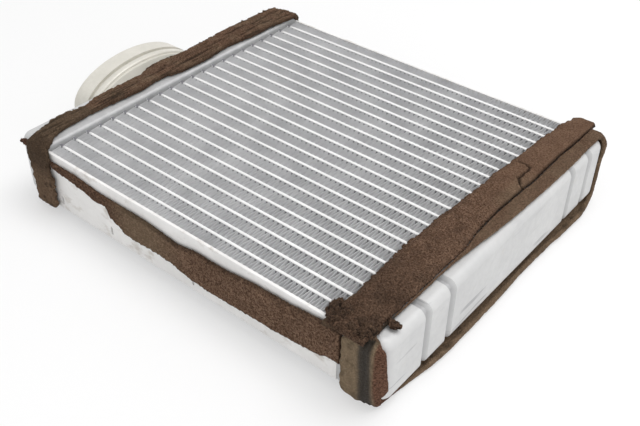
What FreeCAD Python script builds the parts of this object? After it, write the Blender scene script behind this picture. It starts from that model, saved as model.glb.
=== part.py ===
"""Cabin heater core: flat tubes and folded fins between two pressed tanks, with foam seals.

Millimetres. X runs along the tubes towards the closed front tank, Y across the tubes, Z up.
The origin is under the middle of the whole object, in the plane that the foam rests on.
"""
import FreeCAD
import Part
import os

V = FreeCAD.Vector

# Tubes and fins
tube_count = 22
tube_thickness = 1.5
tube_wall = 0.25
fin_height = 5.3
fin_thickness = 0.12
fin_leg_pitch = 1.2
fin_crest = 0.8
fin_end_gap = 3.2
core_length = 152.0
core_depth = 27.0

# Side plates, and the short slots punched near the near plate's lower edge
side_plate_thickness = 1.2
side_plate_edge_radius = 0.4
plate_slot_length = 4.0
plate_slot_width = 1.2
plate_slot_rise = 2.5
plate_slot_shares = (0.035, 0.24, 0.545)

# Headers: trays whose flanges point away from the core
header_thickness = 1.0
header_flange = 8.0
header_inner_radius = 0.2
header_depth_margin = 1.8
header_width_margin = 0.6
slot_clearance = 0.05
tube_stand_through = 1.5

# Tanks: pressed cups that sit inside the header flanges
tank_reach = 19.5
tank_wall = 1.5
tank_fit = 0.1
tank_plan_radius = 5.0
tank_shoulder_radius = 3.6

# Grooves pressed into the front tank, one pair near each end
groove_depth = 1.6
groove_width = 4.0
groove_floor_width = 1.4
groove_pair_gap = 15.0
groove_near_inset = 23.8
groove_far_inset = 13.5
groove_flange_gap = 1.5

# Oval connection on the rear tank
port_offset = -4.0
spigot_width = 52.0
spigot_height = 14.0
spigot_fit = 0.1
spigot_stand_in = 1.0
neck_wall = 1.5
neck_flare_length = 3.5
neck_end_gap = 1.5
bead_width = 3.5
bead_height = 1.2
bead_edge_radius = 1.0
bead_flare_gap = 1.5
cap_width = 66.0
cap_height = 33.0
cap_skirt = 9.0
cap_wall = 1.5
cap_fit = 0.1
cap_edge_radius = 1.2
port_radius = 8.0
port_spacing = 32.0
port_collar_wall = 1.5
port_length = 10.0
connection_reach = 18.5
divider_thickness = 1.5
divider_fit = 0.1

# Foam seals
foam_thickness = 2.3
foam_clear = 0.3
plate_foam_thickness = 2.0
front_strip_width = 12.0
front_band_start = 1.0
front_band_top_end = 15.5
front_lip_stand = 1.5
window_side_inset = 3.0
window_floor_rise = 4.0
window_corner_radius = 4.0
rear_band_start = 3.5
rear_band_end = 14.5
rear_band_edge_radius = 3.0
rear_ear_reach = 4.0
rear_ear_rise = 3.0
rear_ear_drop = 2.5
far_strip_upper_share = 0.15
far_strip_lower_share = 0.7

# Edges of the torn near strip, as (share of the plate's length, share of its depth down)
near_strip_upper_shares = ((0.03, 0.04), (0.26, 0.10), (0.50, 0.17), (0.66, 0.11), (0.85, 0.03),
                           (1.0, 0.0))
near_strip_lower_shares = ((1.0, 0.56), (0.94, 0.68), (0.66, 0.77), (0.42, 0.67), (0.31, 0.65),
                           (0.25, 0.38), (0.15, 0.31), (0.03, 0.16))
# Front strip's ragged inner edge, as (share of the half width, share of the strip's width)
front_strip_inner_shares = ((-1.0, -0.27), (-0.86, -0.32), (-0.67, -0.29), (-0.42, -0.40), (-0.1, -0.31),
                            (0.3, -0.22), (0.48, -0.08), (0.72, 0.0), (0.88, 0.08), (1.0, 0.25))

# Worked out from the sizes above
tube_pitch = tube_thickness + fin_height
plate_inner = (tube_count * tube_pitch + fin_height) / 2
plate_outer = plate_inner + side_plate_thickness
header_half_width = plate_outer + header_width_margin
header_bottom = foam_thickness
header_top = header_bottom + core_depth + 2 * header_depth_margin
header_bend_radius = header_thickness + header_inner_radius
core_bottom = header_bottom + header_depth_margin
core_top = core_bottom + core_depth
middle_z = core_bottom + core_depth / 2
tank_inset = header_thickness + tank_fit
header_corner_radius = tank_shoulder_radius + tank_inset
tank_half_width = header_half_width - tank_inset
tank_bottom = header_bottom + tank_inset
tank_top = header_top - tank_inset
tank_start = header_thickness + tube_stand_through + tank_fit
foam_half_width = header_half_width + foam_thickness
foam_top = header_top + foam_thickness
foam_corner_radius = header_corner_radius + foam_thickness
neck_width = cap_width - 2 * (cap_wall + cap_fit)
neck_height = cap_height - 2 * (cap_wall + cap_fit)
neck_end = tank_reach + connection_reach - cap_wall - neck_end_gap
front_reach = tank_reach + front_lip_stand
rear_reach = tank_reach + connection_reach
core_centre_x = (rear_reach - front_reach) / 2
front_face_x = core_centre_x + core_length / 2
rear_face_x = core_centre_x - core_length / 2
past = 2.0
same = 0.001


def save(shape, name):
    """Write one sub-part as a STEP file."""
    shape.exportStep("parts/" + name + ".step")


def block(x0, x1, y0, y1, z0, z1):
    """A plain box between two corners."""
    return Part.makeBox(x1 - x0, y1 - y0, z1 - z0, V(x0, y0, z0))


def rounded_wire(x, half_width, z0, z1, radius):
    """The outline of a rounded rectangle in one plane across X."""
    left = -half_width
    right = half_width
    cut = radius * (1 - 0.5 ** 0.5)
    corners = (((right - radius, z0), (right - cut, z0 + cut), (right, z0 + radius)),
               ((right, z1 - radius), (right - cut, z1 - cut), (right - radius, z1)),
               ((left + radius, z1), (left + cut, z1 - cut), (left, z1 - radius)),
               ((left, z0 + radius), (left + cut, z0 + cut), (left + radius, z0)))
    edges = []
    for index, corner in enumerate(corners):
        points = [V(x, y, z) for y, z in corner]
        edges.append(Part.Arc(*points).toShape())
        following = V(x, *corners[(index + 1) % len(corners)][0])
        if points[-1].distanceToPoint(following) > 1e-6:
            edges.append(Part.LineSegment(points[-1], following).toShape())
    return Part.Wire(edges)


def rounded_prism(x0, x1, half_width, z0, z1, radius):
    """A rounded rectangle drawn along X."""
    wire = rounded_wire(x0, half_width, z0, z1, radius)
    return Part.Face(wire).extrude(V(x1 - x0, 0, 0))


def oval_wire(x, width, height):
    """An ellipse lying on its side in one plane across X, at the core's mid height."""
    centre = V(x, 0, middle_z)
    oval = Part.Ellipse(centre + V(0, width / 2, 0), centre + V(0, 0, height / 2), centre)
    return Part.Wire([oval.toShape()])


def oval_prism(x0, x1, width, height):
    """The lying ellipse drawn along X."""
    return Part.Face(oval_wire(x0, width, height)).extrude(V(x1 - x0, 0, 0))


def upright_oval_prism(x0, x1, thickness, height):
    """A thin slot shape that stands on its round nose, drawn along X."""
    return rounded_prism(x0, x1, thickness / 2, middle_z - height / 2, middle_z + height / 2,
                         thickness / 2)


def edges_at_x(shape, x):
    """The edges that lie wholly in one plane across X."""
    return [e for e in shape.Edges
            if abs(e.BoundBox.XMin - x) < same and abs(e.BoundBox.XMax - x) < same]


def plan_rounded_block(x0, x1, half_width, z0, z1, radius):
    """A block whose two upright edges at the far end are rounded."""
    form = block(x0, x1, -half_width, half_width, z0, z1)
    upright = [e for e in edges_at_x(form, x1) if e.BoundBox.ZLength > z1 - z0 - same]
    return form.makeFillet(radius, upright)


def tank_form(grow, start):
    """The tank's pressed form, larger all round by grow, drawn from a header's face."""
    form = plan_rounded_block(start, tank_reach + grow, tank_half_width + grow, tank_bottom - grow,
                              tank_top + grow, tank_plan_radius + grow)
    rims = [e for e in form.Edges if e.BoundBox.ZLength < same and e.BoundBox.XMax > start + same]
    return form.makeFillet(tank_shoulder_radius + grow, rims)


def to_front(shape):
    """Place a shape drawn from a header's face on the front header."""
    moved = shape.copy()
    moved.translate(V(front_face_x, 0, 0))
    return moved


def to_rear(shape):
    """Mirror a shape drawn from a header's face and place it on the rear header."""
    moved = shape.mirror(V(0, 0, 0), V(1, 0, 0))
    moved.translate(V(rear_face_x, 0, 0))
    return moved


def off_centre(shape):
    """Move a shape of the oval connection from the middle to the connection's own centre."""
    moved = shape.copy()
    moved.translate(V(0, port_offset, 0))
    return moved


def tube_y(index):
    """Centre of a tube, counted from the near side."""
    return (index - (tube_count - 1) / 2) * tube_pitch


def make_tube():
    """A flat tube with round noses, open at both ends."""
    half = core_length / 2 + header_thickness + tube_stand_through
    outer = upright_oval_prism(-half, half, tube_thickness, core_depth)
    inner = upright_oval_prism(-half - past, half + past, tube_thickness - 2 * tube_wall,
                               core_depth - 2 * tube_wall)
    return outer.cut(inner)


def make_fin():
    """A strip folded to and fro between two tubes, with flat crests that touch them."""
    legs = int((core_length - 2 * fin_end_gap) / fin_leg_pitch)
    start = -legs * fin_leg_pitch / 2
    slant = (fin_leg_pitch - fin_crest) / fin_height
    inner_crest = fin_crest - 2 * fin_thickness * (1 - slant)
    left_side = []
    right_side = []
    for fold in range(legs + 1):
        x = start + fold * fin_leg_pitch
        side = 1 if fold % 2 == 0 else -1
        outside = [(x + end * fin_crest / 2, side * fin_height / 2) for end in (-1, 1)]
        inside = [(x + end * inner_crest / 2, side * (fin_height / 2 - fin_thickness)) for end in (-1, 1)]
        left_side += outside if side > 0 else inside
        right_side += inside if side > 0 else outside
    points = [V(x, y, core_bottom) for x, y in left_side + right_side[::-1]]
    face = Part.Face(Part.makePolygon(points + points[:1]))
    return face.extrude(V(0, 0, core_depth))


def make_side_plate():
    """A flat plate brazed to the outer fin row, with its outer long edges eased."""
    plate = block(rear_face_x, front_face_x, plate_inner, plate_outer, core_bottom, core_top)
    long_edges = [e for e in plate.Edges
                  if e.BoundBox.XLength > core_length - same and e.BoundBox.YMin > plate_outer - same]
    return plate.makeFillet(side_plate_edge_radius, long_edges)


def punch_slots(plate):
    """Cut the short upright slots near the near plate's lower edge."""
    slot = rounded_prism(-past, past, plate_slot_width / 2, 0, plate_slot_length, plate_slot_width / 2)
    slot.rotate(V(0, 0, 0), V(0, 0, 1), 90)
    for share in plate_slot_shares:
        cutter = slot.copy()
        cutter.translate(V(rear_face_x + share * core_length, -plate_inner, core_bottom + plate_slot_rise))
        plate = plate.cut(cutter)
    return plate


def make_header():
    """A tray with rounded corners, slotted for every tube."""
    outer = rounded_prism(0, header_flange, header_half_width, header_bottom, header_top,
                          header_corner_radius)
    outer = outer.makeFillet(header_bend_radius, edges_at_x(outer, 0))
    inner = rounded_prism(header_thickness, header_flange + past, header_half_width - header_thickness,
                          header_bottom + header_thickness, header_top - header_thickness,
                          header_corner_radius - header_thickness)
    inner = inner.makeFillet(header_inner_radius, edges_at_x(inner, header_thickness))
    slot = upright_oval_prism(-past, header_thickness + past, tube_thickness + 2 * slot_clearance,
                              core_depth + 2 * slot_clearance)
    slots = []
    for index in range(tube_count):
        one = slot.copy()
        one.translate(V(0, tube_y(index), 0))
        slots.append(one)
    return outer.cut(inner).cut(Part.makeCompound(slots))


def groove_bar(sink, widen):
    """A sloped-sided bar that follows the tank's section over both shoulders and down its face.

    Its floor lies groove_depth below a surface sunk by sink, and it is wider by widen a side.
    """
    face_x = tank_reach - sink
    turn_x = tank_reach - tank_shoulder_radius
    turn_z = tank_top - tank_shoulder_radius
    rise = (groove_width - groove_floor_width) / 2 / groove_depth
    mouth = groove_width / 2 + widen + rise * past
    floor = groove_floor_width / 2 + widen
    outline = [V(face_x + past, -mouth, turn_z), V(face_x + past, mouth, turn_z),
               V(face_x - groove_depth, floor, turn_z), V(face_x - groove_depth, -floor, turn_z)]
    profile = Part.Face(Part.makePolygon(outline + outline[:1]))
    lower = profile.extrude(V(0, 0, middle_z - turn_z))
    bend = profile.revolve(V(turn_x, 0, turn_z), V(0, 1, 0), -90)
    raised = profile.copy()
    raised.rotate(V(turn_x, 0, turn_z), V(0, 1, 0), -90)
    upper = raised.extrude(V(header_flange + groove_flange_gap - turn_x, 0, 0))
    half = lower.fuse([bend, upper])
    other = half.mirror(V(0, 0, middle_z), V(0, 0, 1))
    return half.fuse(other).removeSplitter()


def groove_centres():
    """Where the grooves lie across the front tank, from the near side."""
    near = groove_near_inset - tank_half_width
    far = tank_half_width - groove_far_inset
    return (near, near + groove_pair_gap, far - groove_pair_gap, far)


def make_front_tank():
    """The closed tank, a pressed cup of even wall with its grooves showing inside as ribs."""
    shell = tank_form(0, tank_start)
    hollow = tank_form(-tank_wall, tank_start - past)
    for y in groove_centres():
        outside = groove_bar(0, 0)
        outside.translate(V(0, y, 0))
        shell = shell.cut(outside)
        inside = groove_bar(tank_wall, tank_wall / 2)
        inside.translate(V(0, y, 0))
        hollow = hollow.cut(inside)
    return shell.cut(hollow)


def make_rear_tank():
    """The tank behind, with an oval opening for the neck."""
    shell = tank_form(0, tank_start).cut(tank_form(-tank_wall, tank_start - past))
    opening = oval_prism(tank_reach - tank_wall - past, tank_reach + past,
                         spigot_width + 2 * spigot_fit, spigot_height + 2 * spigot_fit)
    return shell.cut(off_centre(opening))


def neck_form(inset, start, end):
    """The neck's form, smaller all round by inset: a spigot, a flare and a wide oval."""
    flare_end = tank_reach + neck_flare_length
    slim = (spigot_width - 2 * inset, spigot_height - 2 * inset)
    wide = (neck_width - 2 * inset, neck_height - 2 * inset)
    spigot = oval_prism(start, tank_reach, *slim)
    flare = Part.makeLoft([oval_wire(tank_reach, *slim), oval_wire(flare_end, *wide)], True, True)
    barrel = oval_prism(flare_end, end, *wide)
    return spigot.fuse([flare, barrel]).removeSplitter()


def make_port_neck():
    """The oval neck, with a raised bead before the cap's skirt."""
    start = tank_reach - tank_wall - spigot_stand_in
    bead_start = tank_reach + neck_flare_length + bead_flare_gap
    bead = oval_prism(bead_start, bead_start + bead_width, neck_width + 2 * bead_height,
                      neck_height + 2 * bead_height)
    bead = bead.makeFillet(bead_edge_radius,
                           edges_at_x(bead, bead_start) + edges_at_x(bead, bead_start + bead_width))
    outer = neck_form(0, start, neck_end).fuse(bead)
    return outer.cut(neck_form(neck_wall, start - past, neck_end + past))


def make_port_cap():
    """The rimmed oval cap over the neck's end, with two round ports drawn inwards."""
    end = tank_reach + connection_reach
    outer = oval_prism(end - cap_skirt, end, cap_width, cap_height)
    outer = outer.makeFillet(cap_edge_radius, edges_at_x(outer, end))
    inner = oval_prism(end - cap_skirt - past, end - cap_wall, cap_width - 2 * cap_wall,
                       cap_height - 2 * cap_wall)
    cap = outer.cut(inner)
    for side in (-1, 1):
        base = V(end - port_length, side * port_spacing / 2, middle_z)
        cap = cap.fuse(Part.makeCylinder(port_radius + port_collar_wall, port_length - cap_wall / 2,
                                         base, V(1, 0, 0)))
        bore_base = base - V(past, 0, 0)
        cap = cap.cut(Part.makeCylinder(port_radius, port_length + 2 * past, bore_base, V(1, 0, 0)))
    return cap


def make_flow_divider():
    """A plate across the rear tank and the neck, between the two ports."""
    end = tank_reach + connection_reach - cap_wall - divider_fit
    inset = neck_wall + divider_fit
    room = tank_form(-tank_wall - divider_fit, header_thickness + tube_stand_through + divider_fit)
    spigot_room = oval_prism(tank_reach - tank_wall - spigot_stand_in - divider_fit, tank_reach + past,
                             spigot_width + 2 * divider_fit, spigot_height + 2 * divider_fit)
    room = room.cut(off_centre(spigot_room))
    room = room.fuse(off_centre(neck_form(inset, tank_reach - tank_wall - tank_shoulder_radius, end)))
    half = divider_thickness / 2
    return room.common(block(0, end, -half, half, 0, foam_top))


def foam_form(start, end):
    """The outer form of a foam band round an end of the core."""
    return rounded_prism(start, end, foam_half_width, 0, foam_top, foam_corner_radius)


def metal_form():
    """What a foam band lies on: the header's flange and the tank, with the foam's clearance."""
    flange = rounded_prism(-past, header_flange + foam_clear, header_half_width + foam_clear,
                           header_bottom - foam_clear, header_top + foam_clear,
                           header_corner_radius + foam_clear)
    return flange.fuse(tank_form(foam_clear, tank_start))


def make_front_band():
    """Foam round both ends and the underside of the front tank, with a narrow edge on top."""
    plan_radius = tank_plan_radius + foam_half_width - tank_half_width
    band = foam_form(front_band_start, front_reach)
    band = band.common(plan_rounded_block(0, front_reach, foam_half_width, 0, foam_top, plan_radius))
    band = band.cut(metal_form())
    strip_room = block(0, front_strip_width + foam_clear, -foam_half_width - past,
                       foam_half_width + past, header_top, foam_top + past)
    window = rounded_prism(front_band_top_end, front_reach + past, tank_half_width - window_side_inset,
                           window_floor_rise, foam_top + 2 * window_corner_radius, window_corner_radius)
    return band.cut(strip_room).cut(window)


def make_front_strip():
    """The wide foam strip on top, from over the fin ends to the tank's shoulder."""
    inner = [V(across * front_strip_width, along * foam_half_width, header_top)
             for along, across in front_strip_inner_shares]
    ragged = Part.BSplineCurve()
    ragged.interpolate(inner)
    near = V(front_strip_width, -foam_half_width, header_top)
    far = V(front_strip_width, foam_half_width, header_top)
    edges = [ragged.toShape(), Part.LineSegment(inner[-1], far).toShape(),
             Part.LineSegment(far, near).toShape(), Part.LineSegment(near, inner[0]).toShape()]
    return Part.Face(Part.Wire(edges)).extrude(V(0, 0, foam_thickness))


def make_rear_band():
    """Foam round the rear tank, with an ear that runs forward over the near plate's end."""
    band = foam_form(rear_band_start, rear_band_end)
    band = band.makeFillet(rear_band_edge_radius, edges_at_x(band, rear_band_end))
    ear = block(-rear_ear_reach, rear_band_start + past, -foam_half_width,
                -header_half_width - foam_clear, core_bottom + rear_ear_rise, core_top - rear_ear_drop)
    return band.cut(metal_form()).fuse(ear)


def plate_point(share_along, share_down):
    """A point on the near plate's outer face."""
    return V(rear_face_x + share_along * core_length, -plate_outer, core_top - share_down * core_depth)


def make_near_strip():
    """The torn, wavy foam strip stuck to the near side plate."""
    upper = Part.BSplineCurve()
    upper.interpolate([plate_point(*p) for p in near_strip_upper_shares])
    lower = Part.BSplineCurve()
    lower.interpolate([plate_point(*p) for p in near_strip_lower_shares])
    front = Part.LineSegment(plate_point(*near_strip_upper_shares[-1]),
                             plate_point(*near_strip_lower_shares[0]))
    rear = Part.LineSegment(plate_point(*near_strip_lower_shares[-1]),
                            plate_point(*near_strip_upper_shares[0]))
    outline = Part.Wire([upper.toShape(), front.toShape(), lower.toShape(), rear.toShape()])
    return Part.Face(outline).extrude(V(0, -plate_foam_thickness, 0))


def make_far_strip():
    """A straight foam strip on the far side plate."""
    upper = core_top - far_strip_upper_share * core_depth
    lower = core_top - far_strip_lower_share * core_depth
    return block(rear_face_x, front_face_x, plate_outer, plate_outer + plate_foam_thickness, lower, upper)


def save_core():
    """The rows of tubes and fins."""
    tube = make_tube()
    for index in range(tube_count):
        one = tube.copy()
        one.translate(V(core_centre_x, tube_y(index), 0))
        save(one, "tube_%02d" % (index + 1))
    fin = make_fin()
    for index in range(tube_count + 1):
        one = fin.copy()
        one.translate(V(core_centre_x, tube_y(index) - tube_pitch / 2, 0))
        save(one, "fin_%02d" % (index + 1))


def save_metal_ends():
    """Headers, tanks, side plates and the connection."""
    plate = make_side_plate()
    near_plate = plate.mirror(V(0, 0, 0), V(0, 1, 0))
    header = make_header()
    save(plate, "side_plate_far")
    save(punch_slots(near_plate), "side_plate_near")
    save(to_front(header), "header_front")
    save(to_rear(header), "header_rear")
    save(to_front(make_front_tank()), "tank_front")
    save(to_rear(make_rear_tank()), "tank_rear")
    save(to_rear(off_centre(make_port_neck())), "port_neck")
    save(to_rear(off_centre(make_port_cap())), "port_cap")
    save(to_rear(make_flow_divider()), "flow_divider")


def save_foam():
    """The foam seals."""
    save(to_front(make_front_strip()), "foam_front_strip")
    save(to_front(make_front_band()), "foam_front_band")
    save(to_rear(make_rear_band()), "foam_rear_band")
    save(make_near_strip(), "foam_near_strip")
    save(make_far_strip(), "foam_far_strip")


os.makedirs("parts", exist_ok=True)
save_core()
save_metal_ends()
save_foam()
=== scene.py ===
import math
import random

import bmesh
import bpy
import numpy as np
from mathutils import Matrix, Vector, noise

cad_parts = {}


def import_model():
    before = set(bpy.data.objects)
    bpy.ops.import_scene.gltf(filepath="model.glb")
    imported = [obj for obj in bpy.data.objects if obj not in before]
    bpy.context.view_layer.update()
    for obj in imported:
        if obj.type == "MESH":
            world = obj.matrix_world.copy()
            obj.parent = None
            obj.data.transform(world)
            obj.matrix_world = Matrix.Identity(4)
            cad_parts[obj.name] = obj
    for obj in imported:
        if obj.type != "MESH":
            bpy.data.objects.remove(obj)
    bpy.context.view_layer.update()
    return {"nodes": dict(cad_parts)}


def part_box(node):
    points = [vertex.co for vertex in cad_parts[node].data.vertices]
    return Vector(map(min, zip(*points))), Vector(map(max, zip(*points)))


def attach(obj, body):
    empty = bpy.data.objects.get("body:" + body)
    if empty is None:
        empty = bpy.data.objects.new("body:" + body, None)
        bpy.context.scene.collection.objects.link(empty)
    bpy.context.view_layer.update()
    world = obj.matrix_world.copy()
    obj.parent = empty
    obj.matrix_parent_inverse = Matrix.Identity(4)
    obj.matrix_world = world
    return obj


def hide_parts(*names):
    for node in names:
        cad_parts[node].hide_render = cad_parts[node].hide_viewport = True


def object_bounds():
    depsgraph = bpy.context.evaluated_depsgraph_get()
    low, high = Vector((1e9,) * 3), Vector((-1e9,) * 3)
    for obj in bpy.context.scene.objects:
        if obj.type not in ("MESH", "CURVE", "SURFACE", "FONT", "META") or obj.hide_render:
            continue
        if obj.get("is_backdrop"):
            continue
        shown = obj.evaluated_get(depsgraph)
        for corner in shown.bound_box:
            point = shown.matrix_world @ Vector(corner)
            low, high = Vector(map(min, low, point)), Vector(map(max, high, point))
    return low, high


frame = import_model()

MM = 0.001
nodes = frame["nodes"]

# The core's main planes, in millimetres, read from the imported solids
core_lo, core_hi = [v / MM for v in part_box("side_plate_near")]
header_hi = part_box("header_front")[1] / MM
band_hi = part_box("foam_front_band")[1] / MM
FRONT = core_hi.x
REAR = core_lo.x
PLATE_Y = core_lo.y
TOP = header_hi.z
CORE_TOP = core_hi.z
CORE_BOTTOM = core_lo.z
CORE_MIDDLE = (CORE_TOP + CORE_BOTTOM) / 2
FOAM_TOP = band_hi.z
FOAM_SIDE = band_hi.y

# Measures of the solids that no box gives, in millimetres
CORNER = 7.0                             # radius of the bands' corners
GROOVES = (-54.4, -39.4, 49.6, 64.6)     # the front tank's grooves, as places across
TUBE_END_SHADE = 1.15                             # where painted shade darkens the tubes at the rear header, from the core's rear end


# Materials
def feed(tree, socket, value):
    """Give a socket its value, which is a colour, a number or another socket."""
    if isinstance(value, (tuple, list)):
        socket.default_value = (*value, 1)
    elif isinstance(value, (int, float)):
        socket.default_value = value
    else:
        tree.links.new(value, socket)


def add(tree, kind, **values):
    node = tree.nodes.new(kind)
    for key, value in values.items():
        setattr(node, key, value)
    return node


def shader(name):
    mat = bpy.data.materials.new(name)
    mat.use_nodes = True
    tree = mat.node_tree
    bsdf = next(n for n in tree.nodes if n.type == "BSDF_PRINCIPLED")
    return mat, tree, bsdf


def place(tree, stretch=(1, 1, 1), turn=(0, 0, 0)):
    """Object coordinates, stretched and turned."""
    coord = add(tree, "ShaderNodeTexCoord")
    mapping = add(tree, "ShaderNodeMapping")
    mapping.inputs["Scale"].default_value = stretch
    mapping.inputs["Rotation"].default_value = turn
    tree.links.new(coord.outputs["Object"], mapping.inputs["Vector"])
    return mapping.outputs["Vector"]


def compute(tree, operation, a, b=None):
    node = add(tree, "ShaderNodeMath", operation=operation)
    feed(tree, node.inputs[0], a)
    if b is not None:
        feed(tree, node.inputs[1], b)
    return node.outputs[0]


def spread(tree, value, low, high, at_low=0.0, at_high=1.0):
    """Turn a value from low to high into one from at_low to at_high, and keep it between these."""
    node = add(tree, "ShaderNodeMapRange")
    for socket, number in (("From Min", low), ("From Max", high), ("To Min", at_low), ("To Max", at_high)):
        node.inputs[socket].default_value = number
    tree.links.new(value, node.inputs["Value"])
    return node.outputs["Result"]


def speckle(tree, vector, scale, detail, rough, low, high):
    """Noise spread between low and high, as a factor."""
    tex = add(tree, "ShaderNodeTexNoise")
    for socket, number in (("Scale", scale), ("Detail", detail), ("Roughness", rough)):
        tex.inputs[socket].default_value = number
    tree.links.new(vector, tex.inputs["Vector"])
    return spread(tree, tex.outputs["Fac"], low, high)


def blend(tree, factor, a, b):
    """Mix two colours. Each of the three may be a socket."""
    mix = add(tree, "ShaderNodeMix", data_type="RGBA", blend_type="MIX")
    for socket, value in ((mix.inputs[0], factor), (mix.inputs[6], a), (mix.inputs[7], b)):
        feed(tree, socket, value)
    return mix.outputs[2]


def part_of(tree, vector, axis):
    split = add(tree, "ShaderNodeSeparateXYZ")
    tree.links.new(vector, split.inputs[0])
    return split.outputs[axis]


def off_plane(tree, axis, at):
    """Distance in metres from the plane across an axis at a place in millimetres."""
    along = part_of(tree, add(tree, "ShaderNodeTexCoord").outputs["Object"], axis)
    return compute(tree, "ABSOLUTE", compute(tree, "SUBTRACT", along, at * MM))


def bump(tree, bsdf, height, distance):
    node = add(tree, "ShaderNodeBump")
    node.inputs["Distance"].default_value = distance
    node.inputs["Strength"].default_value = 1.0
    tree.links.new(height, node.inputs["Height"])
    tree.links.new(node.outputs["Normal"], bsdf.inputs["Normal"])


def metal(name, colour, darker, metallic, rough, patch, grain):
    """Dull aluminium with patches, fine grain and uneven roughness. patch and grain are noise scales."""
    mat, tree, bsdf = shader(name)
    patches = speckle(tree, place(tree), patch, 4, 0.6, 0.3, 0.7)
    fine = speckle(tree, place(tree), grain, 3, 0.65, 0.3, 0.7)
    base = blend(tree, patches, colour, darker)
    base = blend(tree, compute(tree, "MULTIPLY", fine, 0.35), base, darker)
    tree.links.new(base, bsdf.inputs["Base Color"])
    tree.links.new(spread(tree, fine, 0.0, 1.0, *rough), bsdf.inputs["Roughness"])
    bsdf.inputs["Metallic"].default_value = metallic
    bump(tree, bsdf, fine, 0.00003)
    return mat, tree, bsdf, base


def tube_metal():
    """Painted highlight on the crowns over painted shade on the sides, and painted shade where the tubes
    enter the rear header.
    """
    mat, tree, bsdf, base = metal("tube_bright", (0.93, 0.93, 0.92), (0.80, 0.80, 0.79), 0.1, (0.35, 0.55),
                                  60, 900)
    # painted shade: a grey band and a dark spot where each tube enters the rear header
    from_end_shade = off_plane(tree, "X", REAR + TUBE_END_SHADE)
    dull = spread(tree, from_end_shade, 0.0015, 0.0030, 0.45, 0.0)
    dark = spread(tree, from_end_shade, 0.0008, 0.0013, 0.85, 0.0)
    tone_and_shade = blend(tree, dull, base, (0.42, 0.42, 0.43))
    tone_and_shade = blend(tree, dark, tone_and_shade, (0.10, 0.10, 0.12))
    # painted highlight on the tops and painted shade on the sides, by how far the surface faces up
    facing_up = part_of(tree, add(tree, "ShaderNodeNewGeometry").outputs["Normal"], "Z")
    tone_and_shade = blend(tree, spread(tree, facing_up, 0.20, 0.60), (0.34, 0.34, 0.35), tone_and_shade)
    tree.links.new(tone_and_shade, bsdf.inputs["Base Color"])
    return mat


def tank_metal(name, grooves):
    """Pale pressed metal with smudges and a few long scratches, and with painted shade in its grooves."""
    mat, tree, bsdf, base = metal(name, (0.62, 0.62, 0.615), (0.53, 0.53, 0.53), 0.1, (0.38, 0.6), 45, 420)
    lines = speckle(tree, place(tree, (30, 30, 420), (0.55, 0.0, 0.0)), 1.0, 2, 0.4, 0.64, 0.68)
    where = speckle(tree, place(tree), 28, 1, 0.5, 0.52, 0.60)
    scratches = compute(tree, "MULTIPLY", compute(tree, "MULTIPLY", lines, where), 0.8)
    tone_and_shade = blend(tree, scratches, base, (0.34, 0.34, 0.35))
    smudges = compute(tree, "MULTIPLY", speckle(tree, place(tree), 130, 5, 0.7, 0.62, 0.74), 0.35)
    tone_and_shade = blend(tree, smudges, tone_and_shade, (0.50, 0.47, 0.42))
    for centre in grooves:
        # painted shade along each groove
        film_and_groove_shade = spread(tree, off_plane(tree, "Y", centre), 0.0004, 0.0021, 0.62, 0.0)
        tone_and_shade = blend(tree, film_and_groove_shade, tone_and_shade, (0.30, 0.30, 0.31))
    tree.links.new(tone_and_shade, bsdf.inputs["Base Color"])
    return mat


def plate_metal():
    """Cream-tinted plate with brown stains."""
    mat, tree, bsdf, base = metal("plate_cream", (0.90, 0.89, 0.875), (0.76, 0.75, 0.735), 0.05, (0.4, 0.6),
                                  50, 500)
    stain = speckle(tree, place(tree, (1, 1, 1.6)), 110, 5, 0.65, 0.56, 0.70)
    stained = blend(tree, compute(tree, "MULTIPLY", stain, 0.45), base, (0.36, 0.30, 0.23))
    tree.links.new(stained, bsdf.inputs["Base Color"])
    return mat


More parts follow.
